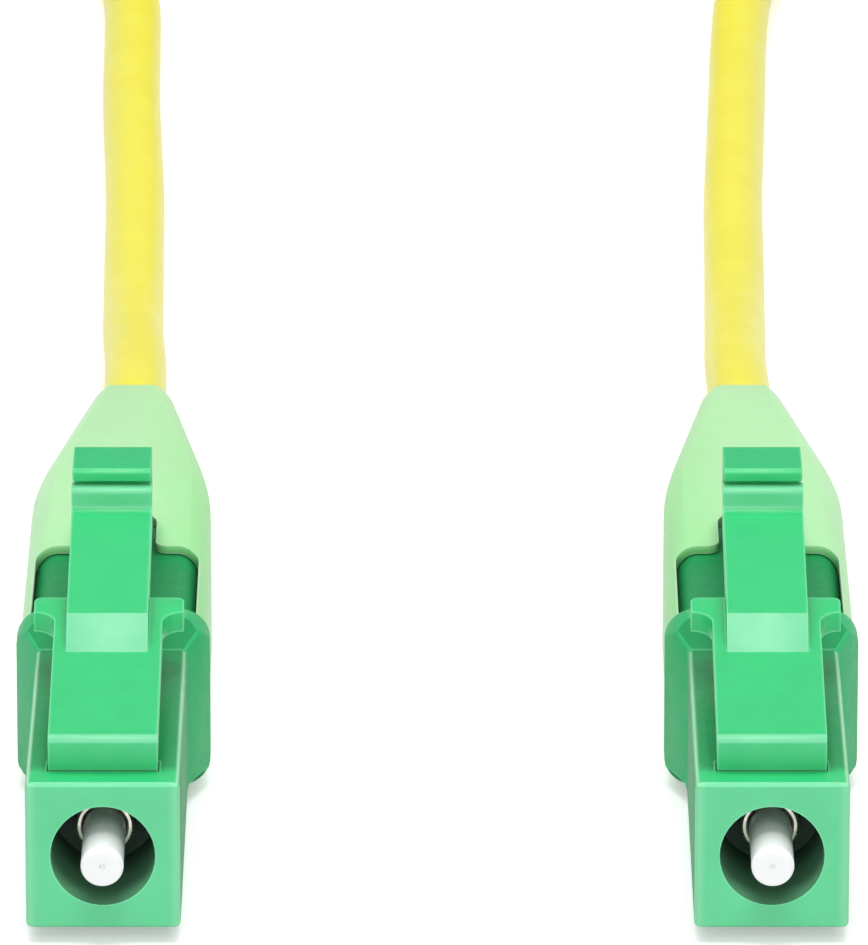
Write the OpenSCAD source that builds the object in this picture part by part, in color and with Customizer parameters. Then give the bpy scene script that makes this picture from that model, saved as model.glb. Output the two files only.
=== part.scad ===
// A fibre optic patch cord: two small angled-polish plugs joined by one thin round cable.
// Each plug lies along Y with its front face toward -Y. In a plug's own frame the front face is
// at y = 0, the ferrule's axis is the Y axis and the latch is above it. All sizes are millimetres.

/* [Pair] */
// Distance between the axes of the two plugs
plug_spacing = 19.45; // [18:0.05:21]

/* [Front housing] */
// Width and height of the square front housing
plug_w = 4.5; // [4.4:0.02:4.7]
// Length of front housing that stands in front of the rear housing
plug_len = 11.3; // [11:0.1:11.6]
// Chamfer round the front face
face_chamfer = 0.1; // [0.05:0.05:0.3]
// Radius of the four long edges
plug_edge_r = 0.2; // [0.1:0.05:0.4]
// Radius of the bore round the ferrule
bore_r = 1.525; // [1.35:0.025:1.6]
// Depth of that bore
bore_depth = 3.8; // [3.8:0.1:4.2]
// Thickness of the web at the bottom of the bore
web_t = 0.6; // [0.4:0.1:0.8]
// Radius of the hole through the web
web_hole_r = 0.95; // [0.8:0.05:1.05]
// Radius of the chamber behind the web
chamber_r = 1.475; // [1.45:0.025:1.6]
// Width and height of the neck that plugs into the rear housing
neck_w = 4; // [3.8:0.05:4.1]
// Length of that neck
neck_len = 3.7; // [3.4:0.1:3.9]

/* [Latch] */
// Distance from the front face to the foot of the latch
latch_foot = 1; // [0.7:0.1:1.4]
// Height of the latch's front wall
latch_wall_h = 1.05; // [0.9:0.05:1.2]
// Radius of the round hinge at the latch's foot
latch_hinge_r = 0.4; // [0.3:0.05:0.45]
// Radius of the rounded edge over the front wall
latch_wall_r = 0.3; // [0.1:0.05:0.4]
// Width of the latch's plate
latch_plate_w = 3.2; // [2.8:0.1:3.4]
// Thickness of the plate
latch_plate_t = 0.62; // [0.5:0.02:0.7]
// Upward slope of the plate
latch_plate_slope = 8.1; // [7:0.1:9]
// Distance from the front face to the back of the shoulders
shoulder_back = 9.6; // [9.2:0.1:9.8]
// Width across the two shoulders
shoulder_w = 4.44; // [4.2:0.02:4.5]
// Length of a shoulder's outer edge
shoulder_len = 0.9; // [0.6:0.1:1.2]
// Radius of a shoulder's outer rear corner
shoulder_corner_r = 0.25; // [0.1:0.05:0.4]
// Width of the thumb arm
arm_w = 2.4; // [2.2:0.1:2.6]
// Distance from the front face to the foot of the arm's bevel
bevel_foot = 6.2; // [5.6:0.1:6.6]
// Height of the 45 degree bevel where the arm starts
bevel_h = 0.9; // [0.7:0.05:1]
// Upward slope of the arm's top
arm_slope = 11.6; // [10:0.1:13]
// Thickness of the arm
arm_t = 0.85; // [0.7:0.05:1]
// Distance from the front face to the lip at the arm's tail
lip_front = 12.85; // [12.6:0.05:13.2]
// Length of the lip along the arm
lip_len = 0.6; // [0.5:0.05:0.7]
// Height of the lip over the arm's top
lip_h = 0.68; // [0.5:0.02:0.8]
// Radius of the lip's front top edge
lip_r = 0.2; // [0.1:0.05:0.3]
// Radius of the hollow in front of the lip
scoop_r = 0.25; // [0.15:0.05:0.45]

/* [Rear housing] */
// Width and height of the rear housing's body
rear_w = 4.96; // [4.9:0.02:5.2]
// Length of the rear housing
rear_len = 11.6; // [11.2:0.1:12]
// Radius of the body's long edges
rear_edge_r = 0.7; // [0.5:0.05:0.9]
// Length of the flared front
flare_len = 1.65; // [1.4:0.05:2]
// Length of the straight collar behind the flare
collar_len = 0.7; // [0.5:0.05:0.9]
// How far the collar stands out at each side
collar_side = 0.42; // [0.3:0.02:0.5]
// How far the collar stands out at the top and bottom
collar_rise = 0.2; // [0.1:0.02:0.28]
// Radius of the collar's long edges
collar_edge_r = 0.9; // [0.6:0.05:1.1]
// Height over the collar's underside at which its flare starts
flare_foot = 0.6; // [0.4:0.05:0.8]

/* [Trigger] */
// Distance from the front face to the trigger's hinge
trigger_hinge = 21; // [20.6:0.1:21.4]
// Radius of the trigger's round hinge
trigger_hinge_r = 0.42; // [0.35:0.01:0.45]
// Thickness of the trigger above its hinge
trigger_root_t = 0.73; // [0.6:0.01:0.85]
// Width of the trigger at its tip
trigger_tip_w = 2.34; // [2.2:0.02:2.5]
// Width of the trigger at its hinge
trigger_root_w = 2; // [1.8:0.05:2.1]
// How far the trigger's tip reaches back over the lip before it turns down
trigger_top_len = 2.05; // [1.6:0.05:2.2]
// Thickness of the tip at its front
trigger_tip_t = 0.38; // [0.3:0.02:0.5]
// Gap between the trigger's tip and the latch's lip
press_gap = 0.13; // [0.1:0.01:0.2]

/* [Ferrule] */
// Radius of the ceramic ferrule
ferrule_r = 0.625; // [0.6:0.005:0.65]
// Length of the ferrule
ferrule_len = 6.5; // [6.4:0.05:6.7]
// How far the ferrule stands out of the front face
ferrule_out = 0.95; // [0.8:0.05:1.1]
// Length of the cone at the ferrule's tip
ferrule_cone = 0.15; // [0.15:0.05:0.3]
// Radius of the polished end
ferrule_end_r = 0.46; // [0.4:0.01:0.5]
// Angle of the polished end
polish_angle = 8; // [0:1:9]
// Radius of the bare glass fibre
glass_r = 0.0625; // [0.05:0.0025:0.07]
// Distance from the front face to the flange's nose
nose_front = 2.4; // [2.2:0.1:2.8]
// Radius of the nose
nose_r = 0.875; // [0.8:0.005:0.88]
// Width across the flats of the hexagonal flange
flange_flats = 2.3; // [2.2:0.02:2.4]
// Length of the hexagon
flange_len = 2; // [1.8:0.1:2.2]
// Radius of the tube behind the hexagon
hub_r = 0.82; // [0.8:0.01:0.9]
// Length of that tube
hub_len = 2.3; // [2:0.1:2.5]
// Outside radius of the guide tube
guide_r = 0.6; // [0.57:0.01:0.61]
// Wall of the guide tube
guide_wall = 0.11; // [0.08:0.01:0.12]
// How far the guide tube reaches into the metal post
guide_reach = 0.9; // [0.7:0.1:2]

/* [Spring and crimp] */
// Radius of the spring's wire
wire_r = 0.15; // [0.1:0.01:0.16]
// Radius of the spring's turns at the middle of the wire
spring_r = 1.1; // [1.05:0.01:1.2]
// Number of turns
spring_turns = 6; // [4:0.5:6]
// Length of the metal post inside the front housing
post_front_len = 3.4; // [3.2:0.1:3.6]
// Radius of the hole through the post
post_hole_r = 0.75; // [0.7:0.01:0.8]
// Radius of the post's crimp neck
post_neck_r = 1.1; // [1:0.01:1.15]
// Length of the crimp neck
post_neck_len = 5; // [4:0.1:5.2]
// Thickness of the post's shoulder between the two housings
post_shoulder_t = 0.85; // [0.6:0.05:1]
// Thickness of the layer of yarn on the neck
yarn_t = 0.2; // [0.15:0.01:0.25]
// Wall of the crimp sleeve
crimp_wall = 0.26; // [0.2:0.01:0.28]
// Distance from the post's shoulder to the crimp sleeve
crimp_setback = 0.4; // [0.2:0.05:0.6]
// Distance from the post's end to the cable's jacket
jacket_setback = 0.6; // [0.5:0.05:0.8]
// Length of the crimp sleeve's narrow end, on the cable
crimp_tail_len = 3.1; // [2.4:0.1:3.4]

/* [Boot and cable] */
// Wall of the boot round the rear housing
boot_wall = 0.27; // [0.25:0.01:0.4]
// Length of the boot
boot_len = 24.95; // [23:0.05:26]
// Length of the end over which the boot's four sides narrow
boot_taper_len = 14; // [12:0.5:15]
// Length over which its corners narrow
boot_corner_len = 13; // [12:0.5:15]
// Radius of the rounded bend where each of them starts to narrow
boot_shoulder_r = 40; // [10:5:50]
// Width of the boot's end, at the cable
boot_end_w = 2.5; // [2.4:0.05:2.8]
// Distance from the cable's middle to the corners of that end
boot_end_corner = 1.45; // [1.4:0.05:1.6]
// Length of the cut-out over the rear housing
cutout_len = 5.35; // [5:0.05:5.6]
// Radius of the cut-out's rear corners
cutout_r = 0.5; // [0.3:0.05:0.7]
// Length of the slot for the trigger, behind the cut-out
slot_len = 3.3; // [3.2:0.1:3.6]
// Radius of the rounded corners at the slot's mouth
slot_mouth_r = 0.4; // [0.2:0.05:0.5]
// Diameter of the cable
cable_d = 2; // [1.9:0.05:2.05]
// Wall of the cable's jacket
jacket_wall = 0.4; // [0.3:0.02:0.45]
// Radius of the buffered fibre
buffer_r = 0.45; // [0.4:0.01:0.46]

/* [Coil] */
// Number of whole turns in the coil, before the last half turn
coil_turns = 11; // [9:1:12]
// Radius of the outermost turn at the middle of the cable
coil_r = 15.1; // [14.5:0.1:16]
// Distance between neighbouring turns and layers
coil_pitch = 2.45; // [2.43:0.01:2.6]
// How far the middle of the coil lies behind the middle of the plugs
coil_back = 99; // [97:1:102]

/* [Fits] */
// Gap between pieces that are fixed to each other
fixed_fit = 0.03; // [0.02:0.005:0.04]
// Gap round the hinges and other pieces that move
moving_fit = 0.04; // [0.03:0.005:0.06]
// Gap between ends that face each other along the axis
end_gap = 0.05; // [0.04:0.01:0.08]

/* [Hidden] */
$fn = 64;

housing_green = [0.25, 0.76, 0.45];
boot_green = [0.66, 0.91, 0.66];
cable_yellow = [0.98, 0.93, 0.3];
ceramic_white = [0.95, 0.96, 0.98];
metal_grey = [0.72, 0.72, 0.7];
buffer_white = [0.92, 0.92, 0.88];
yarn_yellow = [0.9, 0.78, 0.35];
glass_blue = [0.8, 0.9, 1];

// Room that a cutting shape has beyond the piece it cuts
cut_over = 1;
// How far two shapes of one solid run into each other
join = 0.1;
plug_half = plug_w / 2;
rear_half = rear_w / 2;
cable_r = cable_d / 2;

// Stations along the axis, from the front face
neck_end = plug_len + neck_len;
rear_front = plug_len + end_gap;
rear_end = rear_front + rear_len;
collar_front = rear_front + flare_len;
collar_end = collar_front + collar_len;
boot_front = collar_end + end_gap;
boot_end = boot_front + boot_len;
cutout_end = boot_front + cutout_len;
slot_end = cutout_end + slot_len;
web_back = bore_depth + web_t;
flange_front = web_back + end_gap;
flange_back = flange_front + flange_len;
hub_back = flange_back + hub_len;
ferrule_tip = -ferrule_out;
ferrule_back = ferrule_tip + ferrule_len;
post_front = neck_end - post_front_len;
shoulder_front = neck_end + end_gap;
shoulder_end = shoulder_front + post_shoulder_t;
rear_step = shoulder_end + end_gap;
post_end = rear_step + post_neck_len;
crimp_front = rear_step + crimp_setback;
jacket_front = post_end + jacket_setback;
crimp_step = jacket_front - end_gap;
crimp_end = crimp_step + crimp_tail_len;

// The boot is a square tube that narrows to a small rounded square at its end
boot_inner_half = rear_half + fixed_fit;
boot_half = boot_inner_half + boot_wall;
boot_inner_edge_r = rear_edge_r + fixed_fit;
boot_edge_r = boot_inner_edge_r + boot_wall;
boot_corner_out = (boot_half - boot_edge_r) * sqrt(2) + boot_edge_r;

// Where the plugs lie: the axis is as high as the deepest piece, and y = 0 is their middle
axis_h = rear_half + max(boot_wall + fixed_fit, collar_rise);
middle = (boot_end + ferrule_tip) / 2;
cable_exit = boot_end - middle;

// Latch, as points (distance from the front face, height over the axis)
latch_hinge_y = latch_foot + latch_hinge_r + moving_fit;
latch_hinge_z = plug_half + moving_fit;
latch_lift = moving_fit;
plate_front_z = plug_half + latch_wall_h;
function plate_top(y) = plate_front_z + (y - latch_foot) * tan(latch_plate_slope);
function plate_under(y) = plate_top(y) - latch_plate_t;
arm_front = bevel_foot + bevel_h;
arm_front_z = plate_top(bevel_foot) + bevel_h;
function arm_top(y) = arm_front_z + (y - arm_front) * tan(arm_slope);
lip_top = arm_top(lip_front) + lip_h;
arm_back = lip_front + lip_len;

// Trigger, as points of the same kind
trigger_hinge_z = rear_half + end_gap / 2;
trigger_tip_y = lip_front + lip_len / 2;
trigger_tip_z = lip_top + press_gap;
trigger_top_z = trigger_tip_z + trigger_tip_t;
trigger_bend_y = trigger_tip_y + trigger_top_len;
// Underside: it drops a little behind the lip, then a 45 degree step leads to the straight arm
trigger_under_len = 0.75;
trigger_under_drop = 0.1;
trigger_under = [arm_back + trigger_under_len, trigger_tip_z - trigger_under_drop];
trigger_step = 0.4;
trigger_inner = trigger_under + trigger_step * [1, -1];
// Gap between the trigger's foot and the rear housing's top, beside the hinge
trigger_foot_gap = 0.27;
trigger_clear_z = rear_half + trigger_foot_gap;

// Distance and direction from point p to point q, and the point where a tangent from p meets a
// circle of radius r round q, on the side that turns by sign
function reach(p, q) = norm(q - p);
function heading(p, q) = atan2(q[1] - p[1], q[0] - p[0]);
function turned_to(a) = [cos(a), sin(a)];
function tangent_point(p, q, r, sign) = q + r * turned_to(heading(q, p) - sign * acos(r / reach(p, q)));

// A tube along a list of points: rings of points, then triangles
function unit(v) = v / norm(v);
function way(path, i) = unit(path[min(i + 1, len(path) - 1)] - path[max(i - 1, 0)]);
function ring(path, i, r, sides) =
    let (ahead = way(path, i), across = unit(cross([0, 0, 1], ahead)), over = cross(ahead, across))
    [for (k = [0 : sides - 1]) let (a = 360 * k / sides - 90)
        path[i] + r * (cos(a) * across + sin(a) * over)];
function tube_points(path, r, sides) = [for (i = [0 : len(path) - 1]) each ring(path, i, r, sides)];
function tube_faces(count, sides) = concat(
    [for (k = [1 : sides - 2]) [0, k, k + 1]],
    [for (i = [0 : count - 2], k = [0 : sides - 1])
        let (a = i * sides + k, b = i * sides + (k + 1) % sides)
        each [[a, a + sides, b], [b, a + sides, b + sides]]],
    [for (k = [1 : sides - 2]) let (last = (count - 1) * sides) [last, last + k + 1, last + k]]);

// The coil: four layers that spiral in, out, in and out, climbing half a turn round each reversal
coil_rings = 24;
coil_sides = 6;
coil_layers = 4;
coil_total = coil_turns + 0.5;
layer_turns = coil_total / coil_layers;
coil_lead = 2.5;
function ease(u) = let (v = max(0, min(1, u))) v * v * (3 - 2 * v);
function layer_of(t) = min(coil_layers - 1, floor(t / layer_turns));
function spiral_in(t) =
    let (k = layer_of(t), u = t / layer_turns - k) (k % 2 == 0 ? u : 1 - u) * layer_turns;
function climbs(t) = [for (k = [1 : coil_layers - 1]) ease((t - k * layer_turns) / 0.5 + 0.5)];
function sum(list, i = 0) = i < len(list) ? list[i] + sum(list, i + 1) : 0;
function coil_point(t) =
    let (a = 180 - 360 * t, r = coil_r - coil_pitch * spiral_in(t))
    [r * cos(a), coil_back + r * sin(a), cable_r + coil_pitch * sum(climbs(t))];
coil_steps = coil_total * coil_rings;
coil_points = [for (i = [0 : coil_steps]) coil_point(i / coil_rings)];
coil_in = [-coil_r, coil_back - coil_lead, cable_r];
coil_out = [coil_r, coil_back - coil_lead, cable_r + coil_pitch * (coil_layers - 1)];
coil_path = concat([coil_in], coil_points, [coil_out]);

// The cable between each boot and the coil
run_a_path = concat(
    [[-plug_spacing / 2, cable_exit, axis_h], [-plug_spacing / 2, cable_exit + cable_d, axis_h]],
    [[-9.8, 27, 2.3], [-10, 32, 1.6], [-10.1, 37, 1.1], [-10.2, 42, 1], [-10.3, 48, 1], [-10.5, 54, 1],
        [-10.7, 60, 1], [-10.8, 66, 1], [-11, 72, 1], [-11.8, 78, 1], [-13.2, 83, 1], [-14.5, 88, 1]],
    [coil_in - [0, cable_d, 0], coil_in]);
run_b_path = concat(
    [[plug_spacing / 2, cable_exit, axis_h], [plug_spacing / 2, cable_exit + cable_d, axis_h]],
    [[9.7, 27, 2.3], [9.8, 32, 1.6], [9.9, 37, 1.1], [10, 42, 1], [10.1, 48, 1], [10.3, 54, 1],
        [10.5, 60, 1], [10.7, 66, 1], [11, 71, 1.3], [11.8, 76, 2.5], [13, 80, 4.5], [14.2, 84, 6.6],
        [15, 88, 8]],
    [coil_out - [0, cable_d, 0], coil_out]);

// Least gap in the coil: between any two of its points that are over a third of a turn apart
third_turn = coil_rings / 3;
coil_gap = min([for (i = [0 : coil_steps - third_turn], j = [i + third_turn : coil_steps])
    norm(coil_points[i] - coil_points[j])]) - cable_d;
echo(least_gap_in_coil = coil_gap);

function length_of(path) = sum([for (i = [1 : len(path) - 1]) norm(path[i] - path[i - 1])]);
echo(cable_length = length_of(run_a_path) + length_of(coil_path) + length_of(run_b_path));

// The spring: a helix round the Y axis
spring_front = flange_back + end_gap + wire_r;
spring_back = post_front - end_gap - wire_r;
spring_rings = 8;
spring_sides = 6;
spring_steps = spring_turns * spring_rings;
spring_path = [for (i = [0 : spring_steps]) let (a = 360 * i / spring_rings)
    [spring_r * cos(a), spring_front + (spring_back - spring_front) * i / spring_steps, spring_r * sin(a)]];
half_turn = spring_rings / 2;
spring_gap = min([for (i = [0 : spring_steps - half_turn], j = [i + half_turn : spring_steps])
    norm(spring_path[i] - spring_path[j])]) - 2 * wire_r;
echo(least_gap_in_spring = spring_gap);
function spring_ring(i) =
    let (a = 360 * i / spring_rings, out = [cos(a), 0, sin(a)])
    [for (k = [0 : spring_sides - 1]) let (b = 360 * k / spring_sides)
        spring_path[i] + wire_r * (cos(b) * out + sin(b) * [0, 1, 0])];

// ---- Shared shapes ----

// A side outline (distance from the front face, height), as wide as given
module side_outline(width) {
    rotate([90, 0, 90]) linear_extrude(width, center = true) children();
}

// An outline seen from above, between two heights
module plan_outline(low, high) {
    translate([0, 0, low]) linear_extrude(high - low) children();
}

// A cross-section, between two stations
module section(from, to) {
    translate([0, to, 0]) rotate([90, 0, 0]) linear_extrude(to - from) children();
}

// A half outline (radius, station) turned round the axis
module turned() {
    rotate([-90, 0, 0]) rotate_extrude() children();
}

module bar(from, to, r) {
    section(from, to) circle(r);
}

module pipe(from, to, outer, inner) {
    section(from, to) difference() {
        circle(outer);
        circle(inner);
    }
}

module rounded_rect(w, h, r) {
    square([w - 2 * r, h], center = true);
    square([w, h - 2 * r], center = true);
    for (x = [-1, 1], y = [-1, 1]) {
        translate([x * (w / 2 - r), y * (h / 2 - r)]) circle(r);
    }
}

// A round hinge bar across the plug
module hinge_bar(y, z, r, width) {
    translate([0, y, z]) rotate([0, 90, 0]) cylinder(r = r, h = width, center = true);
}

// ---- Front housing and latch ----

// Half of the outline with the front chamfer, mirrored to the other half
module chamfered_outline() {
    polygon([[0, -plug_half + face_chamfer], [face_chamfer, -plug_half], [plug_len, -plug_half],
        [plug_len, plug_half], [face_chamfer, plug_half], [0, plug_half - face_chamfer]]);
}

module front_housing() {
    color(housing_green)
    difference() {
        union() {
            intersection() {
                section(0, plug_len) rounded_rect(plug_w, plug_w, plug_edge_r);
                side_outline(plug_w + cut_over) chamfered_outline();
                plan_outline(-plug_w, plug_w) rotate(90) mirror([0, 1]) chamfered_outline();
            }
            section(plug_len - join, neck_end) rounded_rect(neck_w, neck_w, plug_edge_r);
        }
        bar(-cut_over, bore_depth, bore_r);
        bar(bore_depth - cut_over, web_back + cut_over, web_hole_r);
        bar(web_back, neck_end + cut_over, chamber_r);
        hinge_bar(latch_hinge_y, latch_hinge_z, latch_hinge_r + moving_fit, latch_plate_w + 2 * moving_fit);
        snap_lugs(fixed_fit);
    }
}

// The shape of the plate and its shoulders from above
module latch_plan() {
    half = latch_plate_w / 2;
    reach_out = shoulder_w / 2 - half;
    start = shoulder_back - shoulder_len;
    translate([-half, latch_foot]) square([latch_plate_w, shoulder_back - latch_foot]);
    for (side = [0, 1]) mirror([side, 0]) {
        translate([half, start]) difference() {
            square([reach_out, shoulder_len]);
            translate([reach_out - shoulder_corner_r, shoulder_len - shoulder_corner_r]) difference() {
                square(shoulder_corner_r + cut_over);
                circle(shoulder_corner_r);
            }
        }
        translate([half, start - reach_out]) difference() {
            square([reach_out, reach_out]);
            translate([reach_out, 0]) circle(reach_out);
        }
    }
}

// Under the latch's plate: a heel behind the hinge, then a slope up to the plate's underside
heel_len = 0.5;
heel_rise = 0.1;
heel_slope_len = 0.6;

// The plate from the side: front wall, sloping top, lifted underside
module latch_plate_side() {
    heel = latch_foot + 2 * latch_hinge_r + heel_len;
    round_y = latch_foot + latch_wall_r;
    round_z = plate_top(round_y) - latch_wall_r / cos(latch_plate_slope);
    translate([round_y, round_z]) circle(latch_wall_r);
    polygon([[latch_foot, plug_half + latch_lift], [latch_foot, round_z],
        [round_y - latch_wall_r * sin(latch_plate_slope), round_z + latch_wall_r * cos(latch_plate_slope)],
        [shoulder_back, plate_top(shoulder_back)],
        [shoulder_back, plate_under(shoulder_back)],
        [heel + heel_slope_len, plate_under(heel + heel_slope_len)],
        [heel, plug_half + latch_lift + heel_rise]]);
}

// How far the arm's underside runs on under the plate, and past the shoulders
arm_overlap = 1.4;
arm_clear = 0.3;

// The thumb arm from the side: bevel, sloping top, lip
module latch_arm_side() {
    under_start = shoulder_back - arm_overlap;
    under_mid = shoulder_back + arm_clear;
    difference() {
        polygon([[bevel_foot, plate_under(bevel_foot) + latch_plate_t / 4],
            [bevel_foot, plate_top(bevel_foot)], [arm_front, arm_front_z],
            [lip_front, arm_top(lip_front)], [lip_front, lip_top],
            [arm_back, lip_top], [arm_back, arm_top(arm_back) - arm_t],
            [under_mid, arm_top(under_mid) - arm_t], [under_start, plate_under(under_start)]]);
        translate([lip_front + lip_r, lip_top - lip_r]) difference() {
            translate([-lip_r - cut_over, 0]) square([lip_r + cut_over, lip_r + cut_over]);
            circle(lip_r);
        }
    }
    scoop_y = lip_front - scoop_r;
    scoop_z = arm_top(scoop_y) + scoop_r / cos(arm_slope);
    difference() {
        polygon([[scoop_y + scoop_r * sin(arm_slope), scoop_z - scoop_r * cos(arm_slope)],
            [lip_front, arm_top(lip_front) - arm_t / 2], [lip_front + lip_r, scoop_z],
            [lip_front, scoop_z]]);
        translate([scoop_y, scoop_z]) circle(scoop_r);
    }
}

module latch() {
    color(housing_green) {
        intersection() {
            plan_outline(0, plate_top(shoulder_back) + cut_over) latch_plan();
            side_outline(shoulder_w + cut_over) latch_plate_side();
        }
        side_outline(arm_w) latch_arm_side();
        hinge_bar(latch_hinge_y, latch_hinge_z, latch_hinge_r, latch_plate_w);
    }
}

// ---- Rear housing and trigger ----

// The flared collar, as one outline used from the side and from above
module flare_outline(rise) {
    wide = rear_half + rise;
    polygon([[rear_front, -plug_half], [collar_front, -wide], [collar_end, -wide],
        [collar_end, wide], [collar_front, wide], [rear_front, plug_half]]);
}

// What is cut away below the flare at each side of the plug
module flare_foot_room() {
    wide = collar_side + cut_over;
    for (side = [0, 1]) mirror([side, 0]) {
        translate([plug_half, rear_front - cut_over, -rear_half - collar_rise - cut_over])
            cube([wide, flare_len + cut_over, cut_over + flare_foot]);
    }
}

module rear_housing() {
    color(housing_green)
    difference() {
        union() {
            section(collar_end - cut_over, rear_end) rounded_rect(rear_w, rear_w, rear_edge_r);
            intersection() {
                section(rear_front, collar_end)
                    rounded_rect(rear_w + 2 * collar_side, rear_w + 2 * collar_rise, collar_edge_r);
                side_outline(rear_w + 2 * collar_side + cut_over) flare_outline(collar_rise);
                plan_outline(-rear_w, rear_w) rotate(90) mirror([0, 1]) flare_outline(collar_side);
            }
        }
        section(rear_front - cut_over, rear_step)
            square(neck_w + 2 * fixed_fit, center = true);
        bar(rear_step - cut_over, rear_end + cut_over, crimp_r + 2 * fixed_fit);
        hinge_bar(trigger_hinge, trigger_hinge_z, trigger_hinge_r + moving_fit,
            trigger_root_w + 2 * moving_fit);
        flare_foot_room();
    }
}

// The trigger from the side: flat tip over the latch's lip, then a straight arm down to its hinge
module trigger_side() {
    hinge = [trigger_hinge, trigger_hinge_z];
    bend = [trigger_bend_y, trigger_top_z];
    below = trigger_root_t + cut_over;
    edge = 0.12;
    difference() {
        union() {
            polygon([[trigger_tip_y, trigger_tip_z], [trigger_tip_y, trigger_top_z - edge],
                [trigger_tip_y + edge, trigger_top_z], bend, tangent_point(bend, hinge, trigger_root_t, 1),
                hinge, tangent_point(trigger_inner, hinge, trigger_hinge_r, -1),
                trigger_inner, trigger_under]);
            translate(hinge) circle(trigger_root_t);
        }
        translate(hinge - [below, below]) square([2 * below, trigger_clear_z - trigger_hinge_z + below]);
    }
}

module trigger_plan() {
    tip = trigger_tip_w / 2;
    root = trigger_root_w / 2;
    back = trigger_hinge + trigger_root_t + cut_over;
    polygon([[-tip, trigger_tip_y - cut_over], [tip, trigger_tip_y - cut_over], [tip, trigger_bend_y],
        [root, trigger_hinge - trigger_root_t], [root, back], [-root, back],
        [-root, trigger_hinge - trigger_root_t], [-tip, trigger_bend_y]]);
}

module trigger() {
    color(housing_green) {
        intersection() {
            side_outline(trigger_tip_w + cut_over) trigger_side();
            plan_outline(0, trigger_top_z + cut_over) trigger_plan();
        }
        hinge_bar(trigger_hinge, trigger_hinge_z, trigger_hinge_r, trigger_root_w);
    }
}

// ---- Ferrule ----

// Inside its flange the ferrule narrows a little, as a lead-in for pressing
lead_in = 0.015;
lead_r = ferrule_r - lead_in;
hole_fit = 0.01;
// What the ferrule and its fibre stand out beyond the tip before they are polished
polish_stock = 0.1;

module polish_cut() {
    size = 4 * ferrule_r;
    translate([0, ferrule_tip, 0]) rotate([polish_angle, 0, 0])
        translate([-size / 2, ferrule_end_r * sin(polish_angle) - size, -size / 2]) cube(size);
}

module ferrule() {
    color(ceramic_white)
    difference() {
        turned() polygon([[glass_r + hole_fit, ferrule_tip - polish_stock],
            [ferrule_end_r, ferrule_tip - polish_stock], [ferrule_end_r, ferrule_tip],
            [ferrule_r, ferrule_tip + ferrule_cone], [ferrule_r, nose_front],
            [lead_r, ferrule_back], [glass_r + hole_fit, ferrule_back]]);
        polish_cut();
    }
}

module glass_fibre() {
    color(glass_blue)
    difference() {
        bar(ferrule_tip - polish_stock, ferrule_back, glass_r);
        polish_cut();
    }
}

module ferrule_flange() {
    seat = ferrule_back + end_gap;
    nose_edge = 0.08;
    hex_r = flange_flats / sqrt(3);
    hex_chamfer = 0.45;
    color(metal_grey)
    difference() {
        union() {
            intersection() {
                section(flange_front, flange_back) circle(hex_r, $fn = 6);
                turned() polygon([[0, flange_front], [hex_r - hex_chamfer, flange_front],
                    [hex_r, flange_front + hex_chamfer], [hex_r, flange_back], [0, flange_back]]);
            }
            turned() polygon([[0, nose_front], [nose_r - nose_edge, nose_front],
                [nose_r, nose_front + nose_edge], [nose_r, flange_back], [0, flange_back]]);
            bar(flange_back - cut_over, hub_back, hub_r);
        }
        bar(nose_front - cut_over, seat, ferrule_r + 2 * hole_fit);
        bar(seat - cut_over / 2, hub_back + cut_over, guide_r + 2 * hole_fit);
    }
}

module guide_tube() {
    color(buffer_white)
    pipe(ferrule_back + 2 * end_gap, post_front + guide_reach, guide_r, guide_r - guide_wall);
}

// ---- Spring, post, crimp and fibre ----

module ferrule_spring() {
    color(metal_grey)
    polyhedron([for (i = [0 : spring_steps]) each spring_ring(i)],
        tube_faces(spring_steps + 1, spring_sides));
}

// Two lugs on the post that snap into windows in the front housing's neck
module snap_lugs(room) {
    lug_len = 1.4;
    lug_h = 1.6;
    lug_inset = 0.15;
    lug_setback = 1.4;
    translate([0, neck_end - lug_setback, 0])
        cube([neck_w - 2 * lug_inset + 2 * room, lug_len + 2 * room, lug_h + 2 * room], center = true);
}

module backpost() {
    groove = 0.08;
    ridges = 9;
    neck_front = rear_step + end_gap;
    color(metal_grey)
    difference() {
        union() {
            bar(post_front, shoulder_front + join, chamber_r - fixed_fit);
            snap_lugs(0);
            bar(shoulder_front, shoulder_end, neck_w / 2 - 2 * fixed_fit);
            turned() polygon(concat([[0, shoulder_end - join]],
                [[post_neck_r, shoulder_end - join], [post_neck_r, neck_front]],
                [for (i = [1 : ridges - 1])
                    [post_neck_r - groove * (i % 2), neck_front + (post_end - neck_front) * i / ridges]],
                [[post_neck_r, post_end], [0, post_end]]));
        }
        bar(post_front - cut_over, post_end + cut_over, post_hole_r);
    }
}

yarn_inner_r = post_neck_r + fixed_fit;
yarn_r = yarn_inner_r + yarn_t;
crimp_inner_r = yarn_r + fixed_fit;
crimp_r = crimp_inner_r + crimp_wall;
crimp_tail_inner_r = cable_r + fixed_fit;

module aramid_yarn() {
    color(yarn_yellow) pipe(crimp_front + end_gap, post_end, yarn_r, yarn_inner_r);
}

module crimp_sleeve() {
    cone = 0.4;
    tail_r = crimp_tail_inner_r + crimp_wall;
    color(metal_grey) turned() polygon([[crimp_inner_r, crimp_front], [crimp_r, crimp_front],
        [crimp_r, crimp_step - cone], [tail_r, crimp_step], [tail_r, crimp_end],
        [crimp_tail_inner_r, crimp_end], [crimp_tail_inner_r, crimp_step - cone / 2],
        [crimp_inner_r, crimp_step - cone]]);
}

module buffered_fibre() {
    travel_room = 0.65;
    color(buffer_white) bar(ferrule_back + travel_room, boot_end, buffer_r);
}

module cable_jacket() {
    color(cable_yellow) pipe(jacket_front, boot_end, cable_r, cable_r - jacket_wall);
}

// ---- Boot ----

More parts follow.
